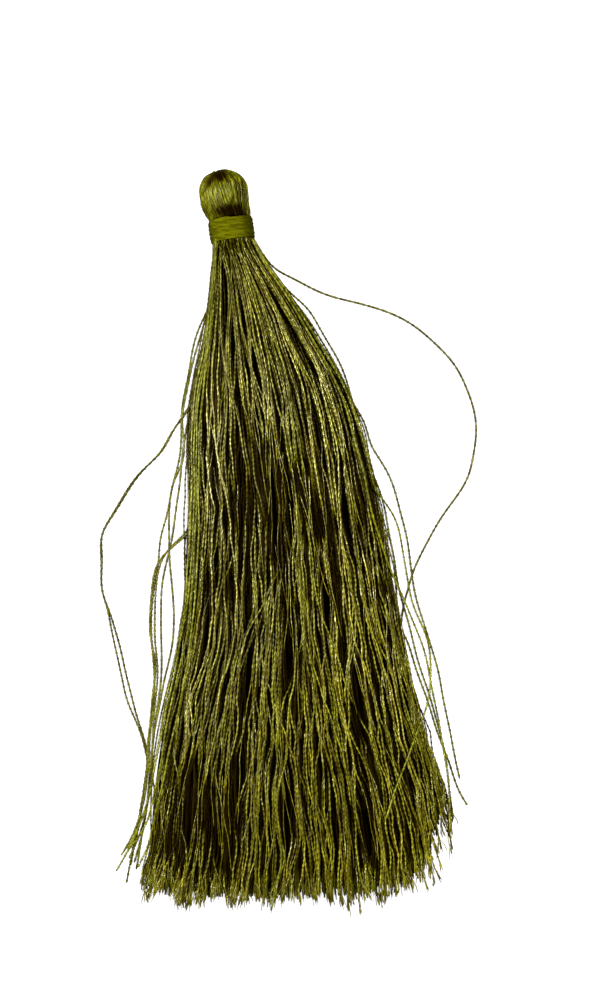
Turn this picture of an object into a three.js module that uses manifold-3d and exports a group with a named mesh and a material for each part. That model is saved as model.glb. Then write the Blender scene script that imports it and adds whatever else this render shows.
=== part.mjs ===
// A silky thread tassel that lies on a flat surface, in millimetres.
// +Z is up and +Y runs from the cut ends towards the head. The origin is under the middle of its box.
// The head and the skirt are one bundle of threads, folded over and tied.
// The wound neck binding is the other piece.
import * as THREE from "three";
import { mergeVertices } from "three/addons/utils/BufferGeometryUtils.js";
import Module from "manifold-3d";

const wasm = await Module();
wasm.setup();

// Middle of the neck binding, and how far the head leans to the left of +Y.
const NECK = { x: -11.3, y: 62.2, z: 4.3, lean: THREE.MathUtils.degToRad(8.5) };

// The neck binding: a ring of wound thread, with a small flat where it lies on the surface.
const BINDING = { length: 4.7, groove: 4.45, ridge: 0.1, bore: 3.95, turns: 8, sides: 32 };

// The bundle from its root face, below the binding, to the top of the folded head.
// along: distance from the middle of the binding. radius: half-width. bulge: how far it swells to the left.
const HEAD = [
  { along: -3.2, radius: 4.2, bulge: 0 },
  { along: -2.9, radius: 4.2, bulge: 0 },
  { along: -2.65, radius: 3.6, bulge: 0 },
  { along: 2.65, radius: 3.6, bulge: 0 },
  { along: 2.9, radius: 4.2, bulge: 0 },
  { along: 4.4, radius: 4.45, bulge: 0.2 },
  { along: 6.2, radius: 4.75, bulge: 0.45 },
  { along: 8.0, radius: 4.8, bulge: 0.45 },
  { along: 9.8, radius: 4.45, bulge: 0.3 },
  { along: 11.2, radius: 3.3, bulge: 0.1 },
  { along: 11.95, radius: 1.7, bulge: 0 },
  { along: 12.15, radius: 0, bulge: 0 },
];
const HEAD_HEIGHT = 0.96; // the head is a little lower than it is wide
// Raised threads on the head, from the binding up.
const RIBS = { count: 24, depth: 0.1, twist: 0.035, from: 2.8 };

// The skirt's sections, from the neck to the cut ends, in the plan of how it fell.
// y: its middle. left, right: x of its sides. leftLift, rightLift: how much nearer the head its sides lie.
// crown: its height. settled: 0 round about the neck's height, 1 flat on the surface.
// lock: size of one strand, from its middle to its corners.
const SKIRT = [
  { y: 51.2, left: -14.4, right: -2.0, leftLift: 0, rightLift: 0, crown: 8.2, settled: 0.3, lock: 0.24 },
  { y: 42.2, left: -16.0, right: 4.5, leftLift: 0, rightLift: 0.3, crown: 8.2, settled: 0.7, lock: 0.31 },
  { y: 31.2, left: -18.7, right: 11.6, leftLift: 0, rightLift: 0.8, crown: 8.2, settled: 1, lock: 0.39 },
  { y: 12.2, left: -20.3, right: 18.3, leftLift: 0.3, rightLift: 1.6, crown: 8.2, settled: 1, lock: 0.45 },
  { y: -27.8, left: -23.5, right: 25.0, leftLift: 1, rightLift: 5, crown: 7.6, settled: 1, lock: 0.47 },
  { y: -71.4, left: -29.4, right: 32.8, leftLift: 3, rightLift: 15, crown: 6.6, settled: 1, lock: 0.45 },
];
const ROOT = { along: -2.9, radius: 3.55, lock: 0.16 }; // where the strands start, inside the root face
const STRANDS = 190; // in the skirt, beside the loose threads
const STRAND_SIDES = 3;
const GOLDEN = 0.61803398875; // spreads the strands' depths evenly
const ROOM = 0.47; // of the way to its nearest neighbour is the most that a strand's corners reach
const LIFT_POWER = 4; // the sides of the cut ends curve up late
const FLOOR_SHARE = 0.1; // the lowest strands of the skirt lie on the surface
const WANDER = { reach: 0.8, across: 7, down: 1.9, deep: 1.6 }; // slow sideways drift that neighbours share
const RAGGED = 2; // the cut ends differ by this much either way

// Loose threads, which leave the skirt's side in a bow over the surface, from the innermost outwards.
// leave, back: y where one parts and rejoins. peak: where on the way it is widest, from 0 to 1.
// reach: how far out it lies there. parts, joins: above 1 it leaves or comes back more gently.
const LEFT_LOOSE = [
  { leave: 30, back: -32, peak: 0.45, reach: 1.8, parts: 1.3, joins: 1.3, steps: 16 },
  { leave: 51, back: -40, peak: 0.7, reach: 4.6, parts: 1.3, joins: 1.2, steps: 18 },
  { leave: 31, back: -51, peak: 0.38, reach: 16.2, parts: 1.9, joins: 1.1, steps: 22 },
];
const RIGHT_LOOSE = [
  { leave: 50, back: 22, peak: 0.5, reach: 2.0, parts: 1.3, joins: 1.3, steps: 16 },
  { leave: 27, back: -86, peak: 0.52, reach: 3.4, parts: 1.2, joins: 1.0, steps: 18 },
  { leave: 56, back: -15, peak: 0.277, reach: 24.6, parts: 3.2, joins: 0.95, steps: 26 },
];
const LANE = { lock: 0.26, root: 3.86, gap: 0.66, clear: 0.5 }; // how the loose threads lie side by side
const LANE_POINTS = 160; // points that shape each of them
const LANE_STEP_UP = 0.16; // at the neck each lies above the one before, by this much of the neck's height
const LANE_EASE = 9; // y over which they spread side by side below the neck
const LANE_DROP = 8; // a bow this wide has come down to the surface

const UP = new THREE.Vector3(0, 0, 1);
const silk = new THREE.MeshStandardMaterial({ color: 0x7c7a18, roughness: 0.45, metalness: 0 });
const bindingSilk = new THREE.MeshStandardMaterial({ color: 0x74740f, roughness: 0.5, metalness: 0 });

// A fixed number from 0 to 1 for each strand and use, so that every run is alike.
function chance(number, use) {
  const wide = Math.sin(number * 12.9898 + use * 78.233) * 43758.5453;
  return wide - Math.floor(wide);
}

// Where a share of a round section's area lies to the left: -1 at its left side, 1 at its right.
function acrossAt(share) {
  let low = 0;
  let high = Math.PI;
  for (let halving = 0; halving < 40; halving += 1) {
    const angle = (low + high) / 2;
    if (angle - Math.sin(angle) * Math.cos(angle) < Math.PI * share) low = angle;
    else high = angle;
  }
  return -Math.cos((low + high) / 2);
}

// A point beside the neck's own axis, in the part's frame.
function fromNeck(sideways, along, height) {
  const c = Math.cos(NECK.lean);
  const s = Math.sin(NECK.lean);
  return new THREE.Vector3(
    NECK.x + sideways * c - along * s,
    NECK.y + sideways * s + along * c,
    NECK.z + height,
  );
}

// Moves each point of a geometry to where place(point) puts it.
function reshape(geometry, place) {
  const points = geometry.getAttribute("position");
  const point = new THREE.Vector3();
  for (let i = 0; i < points.count; i += 1) {
    point.fromBufferAttribute(points, i);
    const moved = place(point);
    points.setXYZ(i, moved.x, moved.y, moved.z);
  }
  return geometry;
}

function solidOf(geometry) {
  const bare = geometry.clone();
  bare.deleteAttribute("normal");
  bare.deleteAttribute("uv");
  const merged = mergeVertices(bare, 1e-4);
  return new wasm.Manifold(
    new wasm.Mesh({
      numProp: 3,
      vertProperties: merged.getAttribute("position").array,
      triVerts: new Uint32Array(merged.index.array),
    }),
  );
}

function geometryOf(solid) {
  const mesh = solid.getMesh();
  const geometry = new THREE.BufferGeometry();
  geometry.setAttribute("position", new THREE.BufferAttribute(mesh.vertProperties, 3));
  geometry.setIndex(new THREE.BufferAttribute(mesh.triVerts, 1));
  geometry.computeVertexNormals();
  return geometry;
}

// The tied bundle: the root face, the stretch inside the binding, and the head with its raised threads.
function headGeometry() {
  const first = HEAD[0];
  const profile = [new THREE.Vector2(0, first.along)];
  HEAD.forEach((row) => profile.push(new THREE.Vector2(row.radius, row.along)));
  const round = new THREE.LatheGeometry(profile, RIBS.count * 2);
  return reshape(round, (p) => {
    const row = HEAD.find((one) => Math.abs(one.along - p.y) < 1e-3);
    const angle = Math.atan2(p.x, p.z);
    const ribbed = p.y > RIBS.from && row.radius > 0;
    const rib = ribbed ? (RIBS.depth * Math.cos(angle * RIBS.count)) / row.radius : 0;
    const turned = angle + (ribbed ? RIBS.twist * (p.y - RIBS.from) : 0);
    const radius = row.radius * (1 + rib);
    const height = Math.cos(turned) * radius * (ribbed ? HEAD_HEIGHT : 1);
    const placed = fromNeck(Math.sin(turned) * radius - row.bulge, p.y, height);
    placed.z = Math.max(0, placed.z);
    return placed;
  });
}

// The wound ring, a low ridge for each pair of turns.
function bindingGeometry() {
  const { length, groove, ridge, bore, turns, sides } = BINDING;
  const profile = [];
  for (let half = 0; half <= turns * 2; half += 1) {
    const out = groove + (half % 2 ? ridge : 0);
    profile.push(new THREE.Vector2(out, (half / (turns * 2) - 0.5) * length));
  }
  profile.push(new THREE.Vector2(bore, length / 2));
  profile.push(new THREE.Vector2(bore, -length / 2));
  profile.push(profile[0].clone());
  return reshape(new THREE.LatheGeometry(profile, sides), (p) => {
    const placed = fromNeck(p.x, p.y, p.z);
    placed.z = Math.max(0, placed.z);
    return placed;
  });
}

// One strand's place in the bundle: across from -1 to 1, and depth from 0 at the surface to 1 on top.
// This lattice keeps neighbours apart however wide and flat the section is.
function slotOf(index) {
  const depth = (index * GOLDEN) % 1;
  return {
    across: acrossAt((index + 0.5) / STRANDS),
    depth: Math.max(0, (depth - FLOOR_SHARE) / (1 - FLOOR_SHARE)),
    cut: RAGGED * (2 * chance(index, 1) - 1),
  };
}

// The middle of a strand where it crosses a section of the skirt. Its flat side lies half a lock below its
// middle and its ridge a whole lock above, so the lowest strands touch the floor and the highest the crown.
function crossing(slot, level, lock) {
  const row = SKIRT[level];
  const { across, depth, cut } = slot;
  const thick = row.crown * Math.sqrt(1 - across * across);
  const floor = (1 - row.settled) * (NECK.z - thick / 2);
  const drift = (WANDER.reach * (level + 1)) / SKIRT.length;
  const phase = WANDER.across * across + WANDER.down * level + WANDER.deep * depth;
  const lift = across < 0 ? row.leftLift : row.rightLift;
  const end = level === SKIRT.length - 1 ? cut : 0;
  return new THREE.Vector3(
    (row.left + row.right) / 2 + (across * (row.right - row.left)) / 2 + drift * Math.sin(phase),
    row.y + lift * Math.abs(across) ** LIFT_POWER + end,
    floor + lock / 2 + depth * Math.max(0, thick - 1.5 * lock),
  );
}

// The routes of the skirt's strands, from the root to the cut end.
function skirtRoutes() {
  const slots = Array.from({ length: STRANDS }, (_, index) => slotOf(index));
  return slots.map((slot) => {
    const chord = ROOT.radius * Math.sqrt(1 - slot.across * slot.across);
    const root = fromNeck(slot.across * ROOT.radius, ROOT.along, (2 * slot.depth - 1) * chord);
    return [root, ...SKIRT.map((row, level) => crossing(slot, level, row.lock))];
  });
}

// A strand is as thick at each section as its lock, or as its nearest neighbour there leaves room for.
function roomFor(routes, route, level) {
  const lock = level ? SKIRT[level - 1].lock : ROOT.lock;
  const others = routes.filter((other) => other !== route);
  const gaps = others.map((other) => other[level].distanceTo(route[level]));
  return Math.min(lock, ROOM * Math.min(...gaps));
}

// The routes of the loose threads on one side, each kept outside the one before it. They follow the skirt's
// edge, and each leaves it by its own bow. A wide bow sinks to the surface.
function looseRoutes(side, bows) {
  const middle = (bows.length - 1) / 2;
  const offsets = [];
  return bows.map((bow, lane) => {
    const raised = 1 + LANE_STEP_UP * (lane - middle);
    const slot = { across: side, depth: 0, cut: 0 };
    const root = fromNeck(side * LANE.root, ROOT.along, 0);
    const edge = [root, ...SKIRT.map((_, level) => crossing(slot, level, LANE.lock))];
    const skew = Math.log(0.5) / Math.log(bow.peak);
    const points = new THREE.CatmullRomCurve3(edge, false, "centripetal").getSpacedPoints(LANE_POINTS);
    points.forEach((p, i) => {
      const way = THREE.MathUtils.clamp((bow.leave - p.y) / (bow.leave - bow.back), 0, 1);
      const out = bow.reach * Math.sin(Math.PI * way ** skew) ** (way < bow.peak ? bow.parts : bow.joins);
      offsets[i] = Math.max((offsets[i] ?? -LANE.gap) + LANE.gap, LANE.clear + out);
      const eased = Math.min(1, (root.y - p.y) / LANE_EASE);
      const height = Math.max(0, p.z - LANE.lock / 2) * Math.max(0, 1 - out / LANE_DROP);
      p.x += side * offsets[i] * eased;
      p.z = LANE.lock / 2 + height * raised;
    });
    points.at(-1).y += RAGGED * (2 * chance(lane, side) - 1);
    return new THREE.CatmullRomCurve3(points, false, "centripetal").getSpacedPoints(bow.steps);
  });
}

// A thin rod bent along its route, flat side down, with sizes[i] from its middle to its corners at step i.
function strandSolid(route, sizes) {
  const steps = route.length - 1;
  const rod = new THREE.CylinderGeometry(1, 1, 1, STRAND_SIDES, steps);
  return solidOf(
    reshape(rod, (p) => {
      const i = Math.round((p.y + 0.5) * steps);
      const ahead = route[Math.min(i + 1, steps)].clone().sub(route[Math.max(i - 1, 0)]);
      const side = ahead.cross(UP).normalize();
      return route[i].clone().addScaledVector(side, p.x * sizes[i]).addScaledVector(UP, p.z * sizes[i]);
    }),
  );
}

function strandSolids() {
  const skirt = skirtRoutes();
  const loose = [...looseRoutes(-1, LEFT_LOOSE), ...looseRoutes(1, RIGHT_LOOSE)];
  return [
    ...skirt.map((route) => strandSolid(route, route.map((_, level) => roomFor(skirt, route, level)))),
    ...loose.map((route) => strandSolid(route, route.map((_, i) => (i ? LANE.lock : ROOT.lock)))),
  ];
}

function threadBundle() {
  const bundle = strandSolids().reduce((whole, strand) => whole.add(strand), solidOf(headGeometry()));
  return geometryOf(bundle);
}

function named(name, geometry, material) {
  const mesh = new THREE.Mesh(geometry, material);
  mesh.name = name;
  return mesh;
}

const tassel = new THREE.Group();
tassel.add(named("thread_bundle", threadBundle(), silk));
tassel.add(named("neck_binding", bindingGeometry(), bindingSilk));

const box = new THREE.Box3().setFromObject(tassel);
const middle = box.getCenter(new THREE.Vector3());
tassel.position.set(-middle.x, -middle.y, -box.min.z);

export default tassel;
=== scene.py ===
"""A silky thread tassel on a white surface, seen from above. Lengths are in millimetres up to mesh_of().

A thread's place across the skirt is u, 0 at the left side and 1 at the right. Rows are the photo's.
"""
import math

import bpy
import numpy as np
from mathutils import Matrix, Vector


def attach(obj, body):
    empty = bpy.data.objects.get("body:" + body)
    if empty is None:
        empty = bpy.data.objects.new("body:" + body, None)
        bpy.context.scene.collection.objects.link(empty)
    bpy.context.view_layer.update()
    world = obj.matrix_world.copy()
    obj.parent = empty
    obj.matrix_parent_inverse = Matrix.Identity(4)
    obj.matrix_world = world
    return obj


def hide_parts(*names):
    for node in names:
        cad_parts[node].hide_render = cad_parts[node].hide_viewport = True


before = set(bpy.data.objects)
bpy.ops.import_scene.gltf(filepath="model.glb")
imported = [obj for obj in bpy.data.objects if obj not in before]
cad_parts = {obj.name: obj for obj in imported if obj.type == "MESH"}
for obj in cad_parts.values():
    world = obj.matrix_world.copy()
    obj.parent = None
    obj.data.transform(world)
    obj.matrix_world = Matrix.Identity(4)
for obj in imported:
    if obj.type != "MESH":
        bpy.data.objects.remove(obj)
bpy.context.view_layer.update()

MM = 0.001
PIXEL = 0.2  # mm on the tassel's plane
ORIGIN_PX = (285.6, 538.7)  # where the frame's origin shows in the photo

# The neck: middle of the binding, and how far the head leans to the left.
NECK = np.array([-10.82, 61.75, 4.3])
LEAN = math.radians(8.5)
BOUND = 4.05  # radius of the threads inside the binding
ROOT_ROW = 237  # where the skirt comes out of the binding
ROOT_ALONG = -1.6  # and how far inside the binding its threads start, along the neck's axis
REST = 0.2  # height of the middle of a thread that lies on the surface

# The skirt's body in the photo: row, left side, right side, in pixels.
BODY = [
    (240, 214, 253), (250, 213.5, 257.5), (262, 212.5, 266), (278, 211, 279), (295, 209, 291),
    (320, 205, 308), (345, 201, 322), (370, 195, 340), (400, 190, 354), (430, 188, 364), (460, 187, 371),
    (490, 186, 378), (520, 185, 384), (550, 184, 389), (580, 182, 394), (610, 180, 400), (640, 177, 406),
    (670, 172, 412), (700, 166, 419), (730, 160, 427), (760, 155, 436), (790, 151, 445), (820, 148, 452),
    (850, 147, 459), (868, 141, 462), (885, 137, 465), (920, 135, 472),
]
# Height of the bundle down the rows, and the share by which it has come down to the surface.
CROWN = [(240, 8.4), (300, 8.3), (700, 7.8), (920, 6.6)]
SETTLED = [(240, 0.0), (283, 0.3), (330, 0.7), (383, 1.0), (920, 1.0)]
# Row where the threads are cut, from the left side (0) to the right (1).
CUT = [
    (0.0, 882), (0.03, 893), (0.08, 899), (0.3, 903), (0.5, 902), (0.7, 898), (0.82, 890), (0.88, 874),
    (0.91, 858), (0.93, 838), (0.97, 820), (1.0, 806),
]
# Dark gaps between the locks: pixel across and down at the middle, half-length down, half-width.
GAPS = [
    (227, 298, 28, 1.6), (233, 350, 42, 2.0), (243, 316, 22, 1.2), (256, 372, 30, 1.3),
    (300, 350, 28, 1.1), (237, 430, 30, 1.4), (260, 446, 36, 2.1), (274, 515, 60, 2.8),
    (291, 512, 40, 2.6), (318, 440, 40, 1.9), (345, 520, 40, 2.1), (216, 560, 40, 1.9),
    (290, 640, 56, 3.6), (327, 606, 34, 2.6), (250, 668, 40, 2.0), (240, 776, 30, 2.8),
    (285, 812, 42, 4.2), (220, 850, 34, 2.8), (188, 806, 46, 3.6), (358, 700, 38, 3.0),
    (366, 820, 48, 3.6), (404, 690, 30, 1.6), (320, 770, 30, 2.0), (205, 640, 36, 1.8),
]

LOBE = 1.0  # a thread's twist shows as one bead each millimetre
WIDE, NARROW = 0.215, 0.135  # half-widths of a twisted thread
STEP = 0.36  # between the points of a loose thread
THIN_FROM, THIN_OVER = 40, 18  # up the frame: where the threads start to grow thinner, and over what length
PHOTO_ROWS = np.arange(200, 960, 1.0)  # those that the skirt takes up, and some more
BLUR = 10  # rows over which the tables of rows are smoothed
ANY_PHASE = 6.3  # about one turn, in radians

rng = np.random.default_rng(4742)


def rows(table, column=1):
    """A smooth function of the photo's row from a short table."""
    values = np.interp(PHOTO_ROWS, [r[0] for r in table], [r[column] for r in table])
    reach = 3 * BLUR
    kernel = np.exp(-0.5 * (np.arange(-reach, reach + 1) / BLUR) ** 2)
    padded = np.concatenate([np.full(reach, values[0]), values, np.full(reach, values[-1])])
    values = np.convolve(padded, kernel / kernel.sum(), "valid")
    return lambda row: np.interp(row, PHOTO_ROWS, values)


left_at = rows(BODY, 1)
right_at = rows(BODY, 2)
crown_at = rows(CROWN)
settled_at = rows(SETTLED)


def cut_at(u):
    """The row where a thread is cut."""
    return np.interp(u, [r[0] for r in CUT], [r[1] for r in CUT])


def plan(px, py):
    """The frame's x and y under a pixel of the photo."""
    return (px - ORIGIN_PX[0]) * PIXEL, (ORIGIN_PX[1] - py) * PIXEL


def from_neck(side, along, height):
    """A place given from the middle of the binding: to the right, along the neck's axis, and up."""
    c, s = math.cos(LEAN), math.sin(LEAN)
    x = NECK[0] + side * c - along * s
    y = NECK[1] + side * s + along * c
    return np.stack([x, y, NECK[2] + height], -1)


def smooth(x):
    """From 0 to 1 with soft ends, and flat outside them."""
    x = np.clip(x, 0, 1)
    return x * x * (3 - 2 * x)


def surface(u, py, depth):
    """Height in the bundle: depth 0 at the bottom, 1 on top."""
    thick = crown_at(py) * np.sqrt(np.clip(1 - (2 * u - 1) ** 2, 0, 1))
    floor = (1 - settled_at(py)) * (NECK[2] - thick / 2)
    return floor + REST + depth * np.clip(thick - 2 * REST, 0, None)


def resample(points, step):
    """Points at equal steps along a route."""
    leg = np.linalg.norm(np.diff(points, axis=0), axis=1)
    run = np.concatenate([[0], np.cumsum(leg)])
    count = max(2, int(round(run[-1] / step)) + 1)
    at = np.linspace(0, run[-1], count)
    return np.stack([np.interp(at, run, points[:, k]) for k in range(3)], -1)


def soften(route, step, over):
    """The route without its kinks: each point is averaged over a stretch of it, and the ends stay."""
    k = max(1, int(over / step))
    weight = np.exp(-0.5 * (np.arange(-2 * k, 2 * k + 1) / k) ** 2)
    weight /= weight.sum()
    out = route.copy()
    for axis in range(3):
        line = route[:, axis]
        padded = np.concatenate([2 * line[0] - line[2 * k:0:-1], line, 2 * line[-1] - line[-2:-2 * k - 2:-1]])
        out[:, axis] = np.convolve(padded, weight, "valid")
    return out


def spline(points, step):
    """A smooth route through a few points."""
    p = np.asarray(points, float)
    p = np.vstack([2 * p[0] - p[1], p, 2 * p[-1] - p[-2]])
    t = np.linspace(0, 1, 24, endpoint=False)[:, None]
    out = []
    for a, b, c, d in zip(p[:-3], p[1:-2], p[2:-1], p[3:]):
        out.append(
            0.5 * (2 * b + (c - a) * t + (2 * a - 5 * b + 4 * c - d) * t**2 + (3 * b - a - 3 * c + d) * t**3)
        )
    out.append(p[-2:-1])
    return resample(np.vstack(out), step)


def tube(route, sides, wide, narrow, lobe, twisted=True, flat=False, at_neck=0.62):
    """One thread's rings of vertices along its route, and how far each has turned, in half turns.

    A twisted thread is flattened and turns as it runs. A flat one winds round the neck.
    """
    n = len(route)
    route = np.column_stack([route[:, :2], np.maximum(route[:, 2], wide)])  # it rests on the surface
    ahead = np.gradient(route, axis=0)
    ahead /= np.linalg.norm(ahead, axis=1)[:, None] + 1e-12
    up = route - flat_axis(route) if flat else np.tile([0.0, 0.0, 1.0], (n, 1))
    side = np.cross(ahead, up)
    side /= np.linalg.norm(side, axis=1)[:, None] + 1e-12
    up = np.cross(side, ahead)
    run = np.concatenate([[0], np.cumsum(np.linalg.norm(np.diff(route, axis=0), axis=1))])
    phase = rng.uniform(0, 2 * math.pi)
    pitch = lobe * rng.uniform(0.85, 1.35)
    turn = (run * math.pi / pitch if twisted else 0 * run) + phase
    corner = np.arange(sides) * 2 * math.pi / sides
    long_way = np.cos(corner) * wide
    short_way = np.sin(corner) * narrow
    c, s = np.cos(turn)[:, None], np.sin(turn)[:, None]
    taper = 1 - (1 - at_neck) * smooth((route[:, 1] - THIN_FROM) / THIN_OVER) if twisted else np.ones(n)
    taper[0] = taper[-1] = 0.5  # the ends close up
    a = (long_way * c - short_way * s) * taper[:, None]
    b = (long_way * s + short_way * c) * taper[:, None]
    ring = route[:, None] + a[..., None] * side[:, None] + b[..., None] * up[:, None]
    return ring.reshape(-1, 3), np.repeat(turn / math.pi, sides)


def faces_between(count, sides):
    """The faces between a thread's rings, with caps on a thread of four sides."""
    i = np.arange(count - 1)[:, None] * sides
    j = np.arange(sides)
    beside = (j + 1) % sides
    faces = np.stack([i + j, i + beside, i + sides + beside, i + sides + j], -1).reshape(-1, 4)
    if sides == 4:
        last = (count - 1) * sides
        faces = np.vstack([faces, [[3, 2, 1, 0], [last, last + 1, last + 2, last + 3]]])
    return faces


def tubes(routes, sides, **form):
    """All the threads' vertices, faces and half turns, joined."""
    verts, faces, turns = [], [], []
    base = 0
    for route in routes:
        rings, turn = tube(route, sides, **form)
        verts.append(rings)
        faces.append(faces_between(len(route), sides) + base)
        turns.append(turn)
        base += len(rings)
    return np.vstack(verts), np.vstack(faces), np.concatenate(turns)


def flat_axis(route):
    """The nearest point of the neck's own axis, for what winds round it."""
    axis = np.array([-math.sin(LEAN), math.cos(LEAN), 0.0])
    return NECK + ((route - NECK) @ axis)[:, None] * axis


def mesh_of(name, verts, faces, attributes, material, replaced):
    """One joined mesh, in metres, that stands for a CAD node."""
    mesh = bpy.data.meshes.new(name)
    mesh.vertices.add(len(verts))
    mesh.vertices.foreach_set("co", (verts * MM).astype(np.float32).ravel())
    mesh.loops.add(faces.size)
    mesh.loops.foreach_set("vertex_index", faces.astype(np.int32).ravel())
    mesh.polygons.add(len(faces))
    mesh.polygons.foreach_set("loop_start", np.arange(0, faces.size, faces.shape[1], dtype=np.int32))
    mesh.update(calc_edges=True)
    mesh.validate()
    mesh.polygons.foreach_set("use_smooth", np.ones(len(mesh.polygons), bool))
    for key, values in attributes.items():
        mesh.attributes.new(key, "FLOAT", "POINT").data.foreach_set("value", values.astype(np.float32))
    mesh.materials.append(material)
    piece = bpy.data.objects.new(name, mesh)
    bpy.context.scene.collection.objects.link(piece)
    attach(piece, "root")
    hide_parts(replaced)


# Broad places of painted shade (below 0), where the threads also sink deeper, and of painted light (above 0):
# pixel across and down, half-sizes, and how much.
PATCHES = [
    (231, 246, 24, 8, -0.25), (262, 335, 50, 60, 0.24), (290, 395, 30, 34, 0.2), (318, 360, 14, 40, 0.3),
    (342, 425, 12, 30, 0.2), (197, 520, 9, 120, 0.12), (232, 455, 14, 22, -0.25),
    (238, 512, 15, 32, -0.65), (267, 464, 11, 28, -0.95), (274, 518, 9, 50, -1.05),
    (292, 478, 16, 18, -0.7), (306, 505, 14, 20, -0.6), (323, 527, 17, 17, -0.75),
    (350, 458, 10, 22, -0.4), (364, 522, 18, 40, -0.4), (286, 570, 8, 30, -0.5), (291, 642, 8, 54, -1.1),
    (328, 606, 7, 36, -0.65), (378, 592, 20, 14, -0.5), (222, 590, 22, 16, -0.3), (268, 668, 9, 60, 0.35),
    (360, 635, 30, 30, 0.4), (395, 680, 22, 50, 0.32), (250, 700, 7, 24, -0.3), (357, 712, 8, 42, -0.85),
    (340, 730, 12, 30, 0.25), (190, 785, 22, 34, -0.85), (222, 846, 13, 42, -1.25),
    (177, 852, 22, 28, -0.95), (206, 812, 30, 22, -0.75), (238, 768, 12, 16, -0.6),
    (276, 757, 13, 20, -0.5), (286, 812, 10, 26, -0.8), (320, 776, 10, 26, -0.45),
    (367, 826, 10, 48, -1.05), (246, 800, 12, 22, 0.1), (325, 850, 20, 20, 0.35),
    (428, 772, 20, 45, 0.42), (409, 788, 10, 16, -0.25), (262, 862, 14, 18, -0.3),
    (380, 872, 16, 10, -0.3),
]
# The head's places of painted shade, in its fold and above the binding, and of painted light across its top.
HEAD_PATCHES = [
    (231, 213, 19, 8, -1.5), (221, 179, 8, 7, -1.45), (210, 187, 5, 7, -1.0), (220, 194, 14, 7, 0.5),
    (208, 203, 7, 8, 0.4), (241, 190, 5, 16, -0.55), (204, 211, 4, 8, -0.5), (228, 172, 10, 4, -0.2),
]


def patch_at(table, px, row):
    """How much darker or lighter the threads are at a place of the photo."""
    return sum(a * np.exp(-(((px - x) / w) ** 2) - ((row - y) / h) ** 2) for x, y, w, h, a in table)


def thread_piece(name, routes, shades, material, slot, replaced, tints=(0, 1), sides=4, **form):
    """Threads as one piece, each with its own shade and tint."""
    verts, faces, turn = tubes(routes, sides, **form)
    counts = [len(route) * sides for route in routes]
    shade = np.concatenate([np.repeat(np.broadcast_to(s, len(r)), sides) for s, r in zip(shades, routes)])
    tint = np.repeat(rng.uniform(*tints, len(routes)), counts)
    mesh_of(name, verts, faces, {"shade": shade, "tint": tint, "turn": turn}, material, replaced)


# Materials

BROWN = (0.0042, 0.0026, 0.0002, 1)  # the deep shade between threads
DEEP_WARMTH = (1.25, 0.96, 0.5, 1)  # what the colour is multiplied by in the shade
LIT_WARMTH = (1.055, 1, 0.9, 1)  # and in the light
SHEEN_TINT = (1, 0.98, 0.72, 1)
DULL_FROM, DULL_TO = 0.018, 0.05  # metres up the frame: the silk grows duller towards the neck
BEAD = 0.000012  # how far the twist's beads swell, in metres
FIBRE_DEPTH = 0.00004  # how far the fine fibres stand out, in metres


def node(tree, kind, inputs=None, **settings):
    """A new node. inputs gives a value, or another node's output, for each input that is set."""
    made = tree.nodes.new(kind)
    for key, value in settings.items():
        setattr(made, key, value)
    for key, value in (inputs or {}).items():
        if isinstance(value, bpy.types.NodeSocket):
            tree.links.new(value, made.inputs[key])
        else:
            made.inputs[key].default_value = value
    return made


def times(tree, a, b):
    """One value times another, or times a number."""
    return node(tree, "ShaderNodeMath", {0: a, 1: b}, operation="MULTIPLY").outputs["Value"]


def ranged(tree, value, low, high, from_low=0.0, from_high=1.0):
    """A value carried from one range to another and held inside it."""
    ends = {"Value": value, "From Min": from_low, "From Max": from_high, "To Min": low, "To Max": high}
    return node(tree, "ShaderNodeMapRange", ends).outputs["Result"]


def noise(tree, place, scale, detail):
    """Soft noise between 0 and 1."""
    inputs = {"Vector": place, "Scale": scale, "Detail": detail}
    return node(tree, "ShaderNodeTexNoise", inputs).outputs["Fac"]


def mixed(tree, share, a, b):
    """Colour a where the share is 0, and colour b where it is 1."""
    return node(tree, "ShaderNodeMix", {"Factor": share, "A": a, "B": b}, data_type="RGBA").outputs["Result"]


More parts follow.
